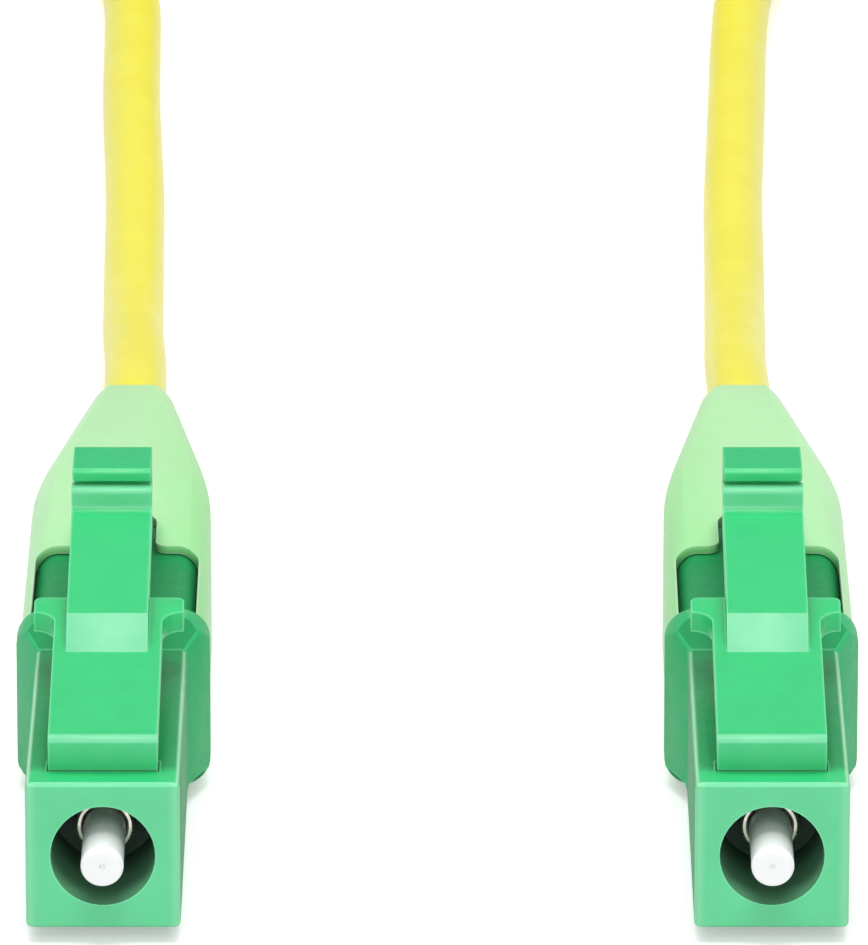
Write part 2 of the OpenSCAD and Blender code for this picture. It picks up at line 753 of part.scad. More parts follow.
// One side of an outline (half width, station): straight, a rounded bend, then a straight taper
bend_steps = 8;
function boot_side(half, taper_len, end_half) =
    let (angle = atan((half - end_half) / taper_len),
        bend_front = boot_end - taper_len - boot_shoulder_r * tan(angle / 2))
    concat([[half, boot_front]],
        [for (i = [0 : bend_steps]) let (a = angle * i / bend_steps)
            [half - boot_shoulder_r * (1 - cos(a)), bend_front + boot_shoulder_r * sin(a)]],
        [[end_half, boot_end]]);

// The boot as wide as its four sides, seen from above or from the side
module boot_sides_outline() {
    side = boot_side(boot_half, boot_taper_len, boot_end_w / 2);
    polygon(concat(side, [for (i = [len(side) - 1 : -1 : 0]) [-side[i][0], side[i][1]]]));
}

// What its corners are cut back to, as a half outline turned round the axis
module boot_corners_outline() {
    polygon(concat([[0, boot_front]], boot_side(boot_corner_out, boot_corner_len, boot_end_corner),
        [[0, boot_end]]));
}

// Room in the boot behind the rear housing and the crimp sleeve, and at each side of the trigger
boot_room = 0.2;
slot_room = 0.15;

// What is cut from the boot's top: the opening over the rear housing and the trigger's slot
module boot_cut_plan() {
    slot_half = trigger_root_w / 2 + slot_room;
    mouth = slot_half + slot_mouth_r;
    translate([-rear_half, boot_front - cut_over]) square([rear_w, cutout_len + cut_over - cutout_r]);
    translate([-rear_half + cutout_r, boot_front]) square([rear_w - 2 * cutout_r, cutout_len]);
    for (side = [-1, 1]) translate([side * (rear_half - cutout_r), cutout_end - cutout_r]) circle(cutout_r);
    translate([-slot_half, boot_front]) square([2 * slot_half, slot_end - boot_front - slot_half]);
    translate([0, slot_end - slot_half]) circle(slot_half);
    difference() {
        translate([-mouth, cutout_end - cutout_r]) square([2 * mouth, cutout_r + slot_mouth_r]);
        for (side = [-1, 1]) translate([side * mouth, cutout_end + slot_mouth_r]) circle(slot_mouth_r);
    }
}

module boot() {
    hollow_end = max(rear_end, slot_end) + boot_room;
    color(boot_green)
    difference() {
        intersection() {
            section(boot_front, boot_end) rounded_rect(2 * boot_half, 2 * boot_half, boot_edge_r);
            turned() boot_corners_outline();
            plan_outline(-boot_half - cut_over, boot_half + cut_over) boot_sides_outline();
            side_outline(2 * boot_half + cut_over) rotate(-90) mirror([1, 0]) boot_sides_outline();
        }
        section(boot_front - cut_over, hollow_end)
            rounded_rect(2 * boot_inner_half, 2 * boot_inner_half, boot_inner_edge_r);
        bar(hollow_end - cut_over, crimp_end + boot_room, crimp_tail_inner_r + crimp_wall + 2 * fixed_fit);
        bar(boot_front, boot_end + cut_over, cable_r + fixed_fit);
        plan_outline(rear_half - rear_edge_r, boot_half + cut_over) boot_cut_plan();
    }
}

// ---- Cable ----

module cable_tube(path, sides) {
    color(cable_yellow) polyhedron(tube_points(path, cable_r, sides), tube_faces(len(path), sides));
}

module cable_run_a() {
    cable_tube(run_a_path, 8);
}

module cable_coil() {
    cable_tube(coil_path, coil_sides);
}

module cable_run_b() {
    cable_tube(run_b_path, 8);
}

// ---- Where the two plugs lie ----

module plug_a() {
    translate([-plug_spacing / 2, -middle, axis_h]) children();
}

module plug_b() {
    translate([plug_spacing / 2, -middle, axis_h]) children();
}

plug_a() front_housing();  // a_front_housing
plug_a() latch();  // a_latch
plug_a() rear_housing();  // a_rear_housing
plug_a() trigger();  // a_trigger
plug_a() ferrule();  // a_ferrule
plug_a() ferrule_flange();  // a_ferrule_flange
plug_a() guide_tube();  // a_guide_tube
plug_a() glass_fibre();  // a_glass_fibre
plug_a() ferrule_spring();  // a_ferrule_spring
plug_a() buffered_fibre();  // a_buffered_fibre
plug_a() backpost();  // a_backpost
plug_a() crimp_sleeve();  // a_crimp_sleeve
plug_a() aramid_yarn();  // a_aramid_yarn
plug_a() boot();  // a_boot
plug_a() cable_jacket();  // a_cable_jacket
plug_b() front_housing();  // b_front_housing
plug_b() latch();  // b_latch
plug_b() rear_housing();  // b_rear_housing
plug_b() trigger();  // b_trigger
plug_b() ferrule();  // b_ferrule
plug_b() ferrule_flange();  // b_ferrule_flange
plug_b() guide_tube();  // b_guide_tube
plug_b() glass_fibre();  // b_glass_fibre
plug_b() ferrule_spring();  // b_ferrule_spring
plug_b() buffered_fibre();  // b_buffered_fibre
plug_b() backpost();  // b_backpost
plug_b() crimp_sleeve();  // b_crimp_sleeve
plug_b() aramid_yarn();  // b_aramid_yarn
plug_b() boot();  // b_boot
plug_b() cable_jacket();  // b_cable_jacket
cable_run_a();
cable_coil();
cable_run_b();
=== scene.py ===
"""Looks for a fibre optic patch cord: two green plugs on one thin yellow cable, on a white table.

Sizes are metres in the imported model's frame, where no comment says millimetres: +X from plug a to
plug b, -Y out of the plugs' front faces, +Z up, with the table at z = 0.
"""

import math

import bmesh
import bpy
from mathutils import Matrix, Vector


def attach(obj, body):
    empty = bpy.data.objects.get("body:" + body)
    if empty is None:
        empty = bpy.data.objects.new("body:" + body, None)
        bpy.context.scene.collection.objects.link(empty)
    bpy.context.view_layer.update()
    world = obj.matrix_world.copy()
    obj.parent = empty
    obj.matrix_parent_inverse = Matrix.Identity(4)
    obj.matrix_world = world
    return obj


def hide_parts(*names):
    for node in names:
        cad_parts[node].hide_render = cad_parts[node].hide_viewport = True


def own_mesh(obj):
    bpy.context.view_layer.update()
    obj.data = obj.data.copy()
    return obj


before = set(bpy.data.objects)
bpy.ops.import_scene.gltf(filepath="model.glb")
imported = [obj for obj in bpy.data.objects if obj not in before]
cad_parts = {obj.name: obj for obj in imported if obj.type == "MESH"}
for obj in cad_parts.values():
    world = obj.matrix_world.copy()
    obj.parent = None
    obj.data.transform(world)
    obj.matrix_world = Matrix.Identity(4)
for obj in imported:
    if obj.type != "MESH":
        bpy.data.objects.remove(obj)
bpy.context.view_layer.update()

MM = 0.001
SIDES = ("a", "b")
ROOT = "cord"  # the fixed body
FRONT_FACE_Y = -18.875 * MM
AXIS_Z = 2.78 * MM
AXIS_X = {"a": -9.725 * MM, "b": 9.725 * MM}


def add(name, data):
    """A new object in the scene."""
    thing = bpy.data.objects.new(name, data)
    bpy.context.scene.collection.objects.link(thing)
    return thing


def turn_to(thing, place, aim):
    """Puts a camera or lamp at place and turns it to aim."""
    thing.location = place
    thing.rotation_mode = "QUATERNION"
    thing.rotation_quaternion = (Vector(aim) - Vector(place)).to_track_quat("-Z", "Y")


def evaluated_mesh(thing):
    depsgraph = bpy.context.evaluated_depsgraph_get()
    return bpy.data.meshes.new_from_object(thing.evaluated_get(depsgraph))


# ---- Camera ----

IMAGE_W, IMAGE_H = 868, 945  # the photograph's size
PIXELS_PER_MM = 34.4  # on the plugs' front faces
CAMERA_DISTANCE = 365 * MM  # to the middle between the plugs' front faces
ELEVATION = math.radians(21)
SENSOR = 36.0  # millimetres
CLIP = (0.01, 10)
AIM_BEHIND_FRONT = 33.8 * MM
ASIDE = -0.1 * MM


def make_camera():
    front = Vector((ASIDE, FRONT_FACE_Y, AXIS_Z))
    back = CAMERA_DISTANCE * Vector((0, -math.cos(ELEVATION), math.sin(ELEVATION)))
    data = bpy.data.cameras.new("camera")
    data.sensor_width = SENSOR
    data.lens = PIXELS_PER_MM * CAMERA_DISTANCE / MM / max(IMAGE_W, IMAGE_H) * SENSOR
    data.clip_start, data.clip_end = CLIP
    camera = add("camera", data)
    turn_to(camera, front + back, front + Vector((0, AIM_BEHIND_FRONT, 0)))
    bpy.context.scene.camera = camera


# ---- Cable: the route's points are the construction's own, in millimetres ----

CABLE_D = 2 * MM
CABLE_STEPS = 4  # between two points of the route
CABLE_SIDES = 24
RUN_A = [(-9.725, 19.825, 2.78), (-9.725, 21.825, 2.78), (-9.8, 27, 2.3), (-10, 32, 1.6),
         (-10.1, 37, 1.1), (-10.2, 42, 1), (-10.3, 48, 1), (-10.5, 54, 1), (-10.7, 60, 1),
         (-10.8, 66, 1), (-11, 72, 1), (-11.8, 78, 1), (-13.2, 83, 1), (-14.5, 88, 1),
         (-15.1, 94.5, 1), (-15.1, 96.5, 1)]
RUN_B = [(9.725, 19.825, 2.78), (9.725, 21.825, 2.78), (9.7, 27, 2.3), (9.8, 32, 1.6),
         (9.9, 37, 1.1), (10, 42, 1), (10.1, 48, 1), (10.3, 54, 1), (10.5, 60, 1),
         (10.7, 66, 1), (11, 71, 1.3), (11.8, 76, 2.5), (13, 80, 4.5), (14.2, 84, 6.6),
         (15, 88, 8), (15.1, 94.5, 8.35), (15.1, 96.5, 8.35)]
COIL_TURNS = 11.5
COIL_LAYERS = 4
COIL_RINGS = 24  # points in each turn
COIL_CLIMB = 0.5  # turns in which it climbs to the next layer
COIL_R = 15.1
COIL_PITCH = 2.45
COIL_BACK = 99  # y of its middle


def ease(u):
    v = max(0.0, min(1.0, u))
    return v * v * (3 - 2 * v)


def coil_point(turn):
    """A point of the coil: its layers spiral in, out, in and out, and climb round each reversal."""
    layer_turns = COIL_TURNS / COIL_LAYERS
    layer = min(COIL_LAYERS - 1, int(turn // layer_turns))
    part = turn / layer_turns - layer
    inward = (part if layer % 2 == 0 else 1 - part) * layer_turns
    radius = COIL_R - COIL_PITCH * inward
    angle = math.radians(180 - 360 * turn)
    reversals = (k * layer_turns for k in range(1, COIL_LAYERS))
    climbed = sum(ease((turn - middle) / COIL_CLIMB + 0.5) for middle in reversals)
    height = CABLE_D / 2 / MM + COIL_PITCH * climbed
    return radius * math.cos(angle), COIL_BACK + radius * math.sin(angle), height


def smooth_line(route):
    """Points of one smooth curve through the route, in metres."""
    curve = bpy.data.curves.new("route", "CURVE")
    curve.dimensions = "3D"
    spline = curve.splines.new("BEZIER")
    spline.bezier_points.add(len(route) - 1)
    spline.resolution_u = CABLE_STEPS
    for point, place in zip(spline.bezier_points, route):
        point.co = place
        point.handle_left_type = "AUTO"
        point.handle_right_type = "AUTO"
    line = add("route", curve)
    mesh = evaluated_mesh(line)
    points = [vertex.co * MM for vertex in mesh.vertices]
    bpy.data.objects.remove(line)
    bpy.data.curves.remove(curve)
    bpy.data.meshes.remove(mesh)
    return points


def tube_mesh(name, points, radius, sides):
    """A tube whose rings never twist, closed at both ends."""
    work = bmesh.new()
    rings = []
    across = Vector((1, 0, 0))
    for i, point in enumerate(points):
        ahead = (points[min(i + 1, len(points) - 1)] - points[max(i - 1, 0)]).normalized()
        across = (across - ahead * across.dot(ahead)).normalized()
        over = ahead.cross(across)
        rings.append([
            work.verts.new(point + radius * (math.cos(turn) * across + math.sin(turn) * over))
            for turn in (math.tau * k / sides for k in range(sides))
        ])
    for near, far in zip(rings, rings[1:]):
        for k in range(sides):
            after = (k + 1) % sides
            work.faces.new((near[k], near[after], far[after], far[k]))
    work.faces.new(rings[0][::-1])
    work.faces.new(rings[-1])
    bmesh.ops.recalc_face_normals(work, faces=work.faces)
    mesh = bpy.data.meshes.new(name)
    work.to_mesh(mesh)
    work.free()
    mesh.shade_smooth()
    return mesh


def make_cable():
    coil = [coil_point(i / COIL_RINGS) for i in range(int(COIL_TURNS * COIL_RINGS) + 1)]
    points = smooth_line(RUN_A + coil + RUN_B[::-1])
    cable = add("cable", tube_mesh("cable", points, CABLE_D / 2, CABLE_SIDES))
    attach(cable, ROOT)
    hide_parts("cable_run_a", "cable_coil", "cable_run_b")
    return cable


# ---- Pieces: the construction's solids with their moulded edges rounded ----

EDGE_SEGMENTS = 3
SHARP = math.radians(32)  # a fold that is rounded
FLAT = math.radians(0.4)  # a fold that is taken out first
SAME_PLACE = 1e-4  # millimetres

# The flare of the rear housing, in millimetres from its plug's axis and front face.
FLARE_ROUNDING = 0.3
FLARE_SEGMENTS = 6
FLARE_DEPTHS = (11.3, 13.2)
RIDGE_ASIDE = 1.8  # least distance beside the axis
RIDGE_UP = -1  # least height from the axis
RIDGE_LENGTH = 0.8  # least length along the plug
RIDGE_FOLD = 0.3  # least angle, in radians


def round_flare(work, side):
    """Rounds the ridges of the flare, whose edges run along the plug and outward."""
    low, high = (FRONT_FACE_Y / MM + y for y in FLARE_DEPTHS)
    axis_x, axis_z = AXIS_X[side] / MM, AXIS_Z / MM
    ridges = []
    for edge in work.edges:
        near, far = sorted((vertex.co for vertex in edge.verts), key=lambda co: co.y)
        outer = all(abs(co.x - axis_x) > RIDGE_ASIDE and co.z - axis_z > RIDGE_UP for co in (near, far))
        along = low < near.y and far.y < high and far.y - near.y > RIDGE_LENGTH
        if outer and along and edge.calc_face_angle(0) > RIDGE_FOLD:
            ridges.append(edge)
    bmesh.ops.bevel(work, geom=ridges, offset=FLARE_ROUNDING, offset_type="OFFSET",
                    segments=FLARE_SEGMENTS, profile=0.5, affect="EDGES", clamp_overlap=True)


def softened(side, part, body, width):
    """A copy of a node with its sharp edges rounded by width, which stands for the node."""
    node = side + "_" + part
    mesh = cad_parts[node].data.copy()
    mesh.materials.clear()
    work = bmesh.new()  # in millimetres
    work.from_mesh(mesh)
    bmesh.ops.scale(work, vec=(1 / MM,) * 3, verts=work.verts)
    bmesh.ops.remove_doubles(work, verts=work.verts, dist=SAME_PLACE)
    bmesh.ops.dissolve_limit(work, angle_limit=FLAT, verts=work.verts, edges=work.edges)
    if part == "rear_housing":
        round_flare(work, side)
    work.to_mesh(mesh)
    work.free()
    piece = add(node + "_moulded", mesh)
    rounding = piece.modifiers.new("rounding", "BEVEL")
    rounding.width = width / MM
    rounding.segments = EDGE_SEGMENTS
    rounding.limit_method = "ANGLE"
    rounding.angle_limit = SHARP
    rounding.use_clamp_overlap = True
    rounding.miter_outer = "MITER_ARC"
    rounded = evaluated_mesh(piece)
    piece.modifiers.clear()
    piece.data = rounded
    rounded.transform(Matrix.Scale(MM, 4))
    rounded.shade_smooth()
    rounded.set_sharp_from_angle(angle=SHARP)
    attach(piece, body)
    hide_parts(node)
    return piece


def sprung(side):
    """A copy of the ferrule's spring, which stands for the node."""
    node = side + "_ferrule_spring"
    piece = add(node + "_wound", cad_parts[node].data.copy())
    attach(piece, ROOT)
    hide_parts(node)
    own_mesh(piece)
    return piece


# ---- Faces that get a material of their own ----
#
# place is a face's middle, from the middle of its plug's front face, and normal its direction. The
# numbers beside a normal are cosines: 1 where the face looks along that axis and 0 where it is square
# to it.

PLUG_HALF = 2.25 * MM
SIDE_BAND = 0.02 * MM  # how far inside the square a side's face may lie
TOP_BAND = 0.07 * MM  # and a face of the top, with its rounded edges
CHAMFER_BACK = 0.12 * MM
BORE_R = 1.54 * MM
BORE_DEPTHS = (0.02 * MM, 4.6 * MM)
WALL_BACK = 1.5 * MM  # the latch's front wall lies before this
BEVEL_DEPTHS = (6.1 * MM, 7.2 * MM)
ARM_END = 12.82 * MM  # where the lip starts
COLLAR_BACK = 13.75 * MM
FOOT_TOP = -2.1 * MM
AHEAD = -0.9  # a normal's y on faces that look forward


# The faces these pick get copies of the plug's green with painted light or shade.
def on_front(place, normal):
    return place.y < CHAMFER_BACK and normal.y < -0.4


def in_bore(place, normal):
    return math.hypot(place.x, place.z) < BORE_R and BORE_DEPTHS[0] < place.y < BORE_DEPTHS[1]


def on_plug_side(place, normal):
    return abs(normal.x) > 0.95 and abs(place.x) > PLUG_HALF - SIDE_BAND


def on_plug_top(place, normal):
    return normal.z > 0.3 and place.z > PLUG_HALF - TOP_BAND


def on_wall(place, normal):
    return normal.y < AHEAD and place.y < WALL_BACK


def on_lip(place, normal):
    return normal.y < AHEAD and place.y > ARM_END


def on_bevel(place, normal):
    """The arm's bevel, the top of the lip and the rounded top edge of the latch's front wall, which get
    a painted highlight.
    """
    if BEVEL_DEPTHS[0] < place.y < BEVEL_DEPTHS[1]:
        return 0.6 < normal.z < 0.8
    if place.y > ARM_END:
        return normal.z > 0.3
    return normal.y < -0.25 and 0.3 < normal.z < 0.95 and place.y < BEVEL_DEPTHS[0]


# The trigger's top gets a painted shade.
def on_trigger_top(place, normal):
    return normal.z > 0.95


def on_collar_side(place, normal):
    """The collar's sides, with the rounded ridges of the flare, which get a painted shade."""
    return abs(normal.x) > 0.25


def on_flare_top(place, normal):
    return normal.y < -0.15 and normal.z > 0.9 and place.y < COLLAR_BACK


def on_collar_foot(place, normal):
    return normal.y < AHEAD and place.z < FOOT_TOP


def behind_collar(place, normal):
    return place.y > COLLAR_BACK


def repaint(piece, side, material, chosen):
    """Gives material to the faces that chosen picks."""
    piece.data.materials.append(material)
    origin = Vector((AXIS_X[side], FRONT_FACE_Y, AXIS_Z))
    for face in piece.data.polygons:
        if chosen(face.center - origin, face.normal):
            face.material_index = len(piece.data.materials) - 1


# ---- Shader nodes ----

NOISE_DETAIL = 3.0
NOISE_RANGE = (0.3, 0.7)  # where most values of a noise lie
BLEND_RANGE = (0.35, 0.65)
MASK_SAMPLES = 8
EDGE_REACH = 0.12 * MM
EDGE_COSINES = (0.995, 0.9)  # between the normal and the rounded normal
RECESS_REACH = 1.2 * MM
RECESS_OPENNESS = (0.7, 0.25)


def put(node, values):
    """Sets plain numbers and colours on a node's sockets."""
    for socket, value in values.items():
        node.inputs[socket].default_value = value


def calculated(tree, operation, *values):
    """The result of one operation on sockets and plain numbers."""
    node = tree.nodes.new("ShaderNodeMath")
    node.operation = operation
    for i, value in enumerate(values):
        if isinstance(value, (int, float)):
            node.inputs[i].default_value = value
        else:
            tree.links.new(value, node.inputs[i])
    return node.outputs["Value"]


def spread(tree, value, low, high, ends=(0, 1)):
    """Goes from the first of ends to the second as value goes from low to high, and no further."""
    node = tree.nodes.new("ShaderNodeMapRange")
    put(node, {"From Min": low, "From Max": high, "To Min": ends[0], "To Max": ends[1]})
    tree.links.new(value, node.inputs["Value"])
    return node.outputs["Result"]


def noise(tree, scale, stretch=(1, 1, 1)):
    """A noise in the object's own metres. scale is in features per metre."""
    place = tree.nodes.new("ShaderNodeTexCoord")
    mapping = tree.nodes.new("ShaderNodeMapping")
    put(mapping, {"Scale": stretch})
    tree.links.new(place.outputs["Object"], mapping.inputs["Vector"])
    texture = tree.nodes.new("ShaderNodeTexNoise")
    put(texture, {"Scale": scale, "Detail": NOISE_DETAIL})
    tree.links.new(mapping.outputs["Vector"], texture.inputs["Vector"])
    return texture.outputs["Fac"]


def blended(tree, factor, low, high):
    """A colour that goes from low to high as factor goes through BLEND_RANGE."""
    ramp = tree.nodes.new("ShaderNodeValToRGB")
    for element, at, colour in zip(ramp.color_ramp.elements, BLEND_RANGE, (low, high)):
        element.position = at
        element.color = (*colour, 1)
    tree.links.new(factor, ramp.inputs["Fac"])
    return ramp.outputs["Color"]


def mixed(tree, factor, low, high):
    """low where factor is 0 and high, a plain colour, where it is 1."""
    mix = tree.nodes.new("ShaderNodeMix")
    mix.data_type = "RGBA"
    tree.links.new(factor, mix.inputs["Factor"])
    tree.links.new(low, mix.inputs["A"])
    put(mix, {"B": (*high, 1)})
    return mix.outputs["Result"]


def bumped(tree, height, depth, strength):
    bump = tree.nodes.new("ShaderNodeBump")
    put(bump, {"Strength": strength, "Distance": depth})
    tree.links.new(height, bump.inputs["Height"])
    return bump.outputs["Normal"]


def edge_mask(tree):
    """1 near convex or hollow edges and 0 on open faces, from a rounded normal: where the painted edge
    highlight goes, a painted shade in the bore.
    """
    rounded = tree.nodes.new("ShaderNodeBevel")
    rounded.samples = MASK_SAMPLES
    put(rounded, {"Radius": EDGE_REACH})
    surface = tree.nodes.new("ShaderNodeNewGeometry")
    cosine = tree.nodes.new("ShaderNodeVectorMath")
    cosine.operation = "DOT_PRODUCT"
    tree.links.new(rounded.outputs["Normal"], cosine.inputs[0])
    tree.links.new(surface.outputs["Normal"], cosine.inputs[1])
    return spread(tree, cosine.outputs["Value"], *EDGE_COSINES)


def recess_shade_mask(tree):
    """0 on open faces and 1 where nearby pieces close a place in: where the painted shade goes."""
    closeness = tree.nodes.new("ShaderNodeAmbientOcclusion")
    closeness.samples = MASK_SAMPLES
    put(closeness, {"Distance": RECESS_REACH})
    return spread(tree, closeness.outputs["AO"], *RECESS_OPENNESS)


def from_axis(tree):
    """Distances outward, behind the front face and up, from the front of the nearer plug's axis."""
    place = tree.nodes.new("ShaderNodeTexCoord")
    apart = tree.nodes.new("ShaderNodeSeparateXYZ")
    tree.links.new(place.outputs["Object"], apart.inputs["Vector"])
    x, y, z = (apart.outputs[axis] for axis in "XYZ")
    starts = ((calculated(tree, "ABSOLUTE", x), AXIS_X["b"]), (y, FRONT_FACE_Y), (z, AXIS_Z))
    return [calculated(tree, "SUBTRACT", value, start) for value, start in starts]


def depth_mask(tree, low, high):
    return spread(tree, from_axis(tree)[1], low, high)


def radius_mask(tree, low, high):
    outward, _, up = from_axis(tree)
    squares = [calculated(tree, "MULTIPLY", value, value) for value in (outward, up)]
    return spread(tree, calculated(tree, "SQRT", calculated(tree, "ADD", *squares)), low, high)


def border_highlight_mask(tree, low, high):
    """1 near the plug's two sides, where a painted highlight goes."""
    return spread(tree, calculated(tree, "ABSOLUTE", from_axis(tree)[0]), low, high)


def inner_shade_mask(tree, low, high):
    """1 on the side of a plug that faces the other plug, where the distance outward is below 0: where a
    painted shade goes.
    """
    return spread(tree, from_axis(tree)[0], low, high)


# ---- Materials ----

GRAIN_DEPTH = 0.004 * MM
UNEVEN = 0.05  # how far a plastic's roughness varies

# Where the masks rise from 0 to 1.
# painted shadow of the latch: the plug's top is darker from the latch's foot on
SHADED_DEPTHS = (0.9 * MM, 1.5 * MM)  # the plug's top is darker from the latch's foot on
# painted highlights along the top's long edges and near the front face's sides
RAIL_HIGHLIGHT = (2.1 * MM, 2.18 * MM)
FACE_SIDE_HIGHLIGHT = (1.9 * MM, 2.25 * MM)
# painted shade in the bore, darker deeper in
BORE_SHADE_MOUTH = (0, 1.2 * MM)
BORE_SHADE_BOTTOM = (2 * MM, 3.8 * MM)
# painted shade on the boot's side that faces the other plug
BOOT_SHADE_INNER = (-0.6 * MM, -2.6 * MM)
# painted glint on the rim of the flange's nose
NOSE_GLINT = (0.7 * MM, 0.72 * MM)


def new_material(name):
    material = bpy.data.materials.new(name)
    material.use_nodes = True
    return material, material.node_tree, material.node_tree.nodes["Principled BSDF"]


def dress(tree, shader, tone, uneven, roughness, relief=None, depth=GRAIN_DEPTH, strength=0.0):
    """Gives a shader its colour, a roughness that varies between two values and its relief."""
    tree.links.new(tone, shader.inputs["Base Color"])
    tree.links.new(spread(tree, uneven, *NOISE_RANGE, roughness), shader.inputs["Roughness"])
    if relief:
        tree.links.new(bumped(tree, relief, depth, strength), shader.inputs["Normal"])


def let_light_in(shader, weight, radius, scale):
    put(shader, {"Subsurface Weight": weight, "Subsurface Radius": radius, "Subsurface Scale": scale})


def moulded_plastic(name, colour, deep, edge, roughness, glow, grain, recess=None, places=(),
                    specular=0.5, sheen=0.0):
    """Injection moulded plastic: soft mottling, a painted highlight along its edges, a fine grain and a
    little translucency.

    edge is the colour painted along edges: a paler highlight, and in the bore a darker painted shade.
    recess is a painted shade: the colour of places that nearby pieces close in. places are further
    colours, each with the mask that shows it and the distances between which the mask rises; they paint
    shade and highlights.
    """
    material, tree, shader = new_material(name)
    tone = blended(tree, noise(tree, scale=900), deep, colour)
    for other, mask, between in places:
        tone = mixed(tree, mask(tree, *between), tone, other)
    if recess:
        tone = mixed(tree, recess_shade_mask(tree), tone, recess)
    tone = mixed(tree, edge_mask(tree), tone, edge)
    dress(tree, shader, tone, noise(tree, scale=2500), (roughness - UNEVEN, roughness + UNEVEN),
          relief=noise(tree, scale=14000), strength=grain)
    let_light_in(shader, glow, (0.4, 1, 0.6), 0.5 * MM)
    put(shader, {"Specular IOR Level": specular, "Sheen Weight": sheen})
    return material


def jacket_plastic():
    """The cable's jacket: satin, with faint lines along it from the die."""
    material, tree, shader = new_material("jacket_yellow")
    tone = blended(tree, noise(tree, scale=450), (0.97, 0.88, 0.035), (1.0, 0.92, 0.05))
    dress(tree, shader, tone, noise(tree, scale=1800), (0.34, 0.44),
          relief=noise(tree, scale=5000, stretch=(1, 0.04, 1)), depth=0.01 * MM, strength=0.3)
    let_light_in(shader, 0.1, (1, 0.8, 0.2), 0.4 * MM)
    put(shader, {"Sheen Weight": 0.15, "Sheen Roughness": 0.5})
    return material


def zirconia():
    """Ground and polished ceramic: white, glossy, with very faint marks round it."""
    material, tree, shader = new_material("zirconia")
    tone = blended(tree, noise(tree, scale=1200), (0.97, 0.98, 0.985), (0.99, 0.995, 1.0))
    dress(tree, shader, tone, noise(tree, scale=3000), (0.12, 0.2),
          relief=noise(tree, scale=9000, stretch=(0.05, 1, 0.05)), depth=0.002 * MM, strength=0.25)
    let_light_in(shader, 0.15, (1, 1, 1), 0.3 * MM)
    return material


def turned_metal(name, low, high, roughness, rim=None):
    """Turned and plated metal, with the tool's marks round it. rim is a painted glint, its colour past
    NOSE_GLINT.
    """
    material, tree, shader = new_material(name)
    tone = blended(tree, noise(tree, scale=2500), low, high)
    if rim:
        tone = mixed(tree, radius_mask(tree, *NOSE_GLINT), tone, rim)
    dress(tree, shader, tone, noise(tree, scale=5000), (roughness - 0.06, roughness + 0.08),
          relief=noise(tree, scale=16000, stretch=(0.06, 1, 0.06)), strength=0.4)
    put(shader, {"Metallic": 1})
    return material


def plain_plastic(name, low, high, roughness):
    material, tree, shader = new_material(name)
    tone = blended(tree, noise(tree, scale=1500), low, high)
    dress(tree, shader, tone, noise(tree, scale=4000), (roughness - UNEVEN, roughness + UNEVEN),
          relief=noise(tree, scale=9000), strength=0.2)
    return material


def aramid():
    """Yarn: fine strands along the cable."""
    material, tree, shader = new_material("aramid")
    strands = noise(tree, scale=14000, stretch=(1, 0.03, 1))
    tone = blended(tree, strands, (0.5, 0.34, 0.06), (0.85, 0.66, 0.2))
    dress(tree, shader, tone, strands, (0.5, 0.7), relief=strands, depth=0.02 * MM, strength=0.8)
    return material


def silica():
    """The bare fibre: clear glass with a faint tint that varies."""
    material, tree, shader = new_material("silica")
    tone = blended(tree, noise(tree, scale=5000), (0.86, 0.91, 0.95), (0.92, 0.96, 0.98))
    dress(tree, shader, tone, noise(tree, scale=9000), (0.05, 0.1))
    put(shader, {"IOR": 1.46})
    return material


def give(piece, material):
    piece.data.materials.clear()
    piece.data.materials.append(material)


# ---- Table, background and light ----

WORLD_LIGHT = 0.15  # the background's light on the object
MIRRORED_WHITE = 0.5  # how bright the background is in a reflection
TABLE_SIZE = 6.0
TABLE_TONE = 0.9
TABLE_FADE = (0.3, 0.9)  # how far from its middle the table's glow rises
TABLE_GLOW = (0.4, 1.0)  # from this to that
LAMPS = (  # name, place, aim, size, watts
    ("overhead", (0, 0.1, 0.6), (0, 0.05, 0), (0.8, 0.3), 2.0),
    ("key", (0, -0.23, 0.6), (0, 0, 0), (0.25, 0.15), 1.5),
    ("front", (0, -0.62, 0.4), (0, 0, 0), (0.5, 0.4), 2.0),
)


def direct_sight(tree):
    """1 for what is seen straight or through glass, less for a reflection and 0 for light."""
    path = tree.nodes.new("ShaderNodeLightPath")
    mirrored = calculated(tree, "MULTIPLY", path.outputs["Is Glossy Ray"], MIRRORED_WHITE)
    seen = calculated(tree, "MAXIMUM", path.outputs["Is Camera Ray"], mirrored)
    return calculated(tree, "MAXIMUM", seen, path.outputs["Is Transmission Ray"])


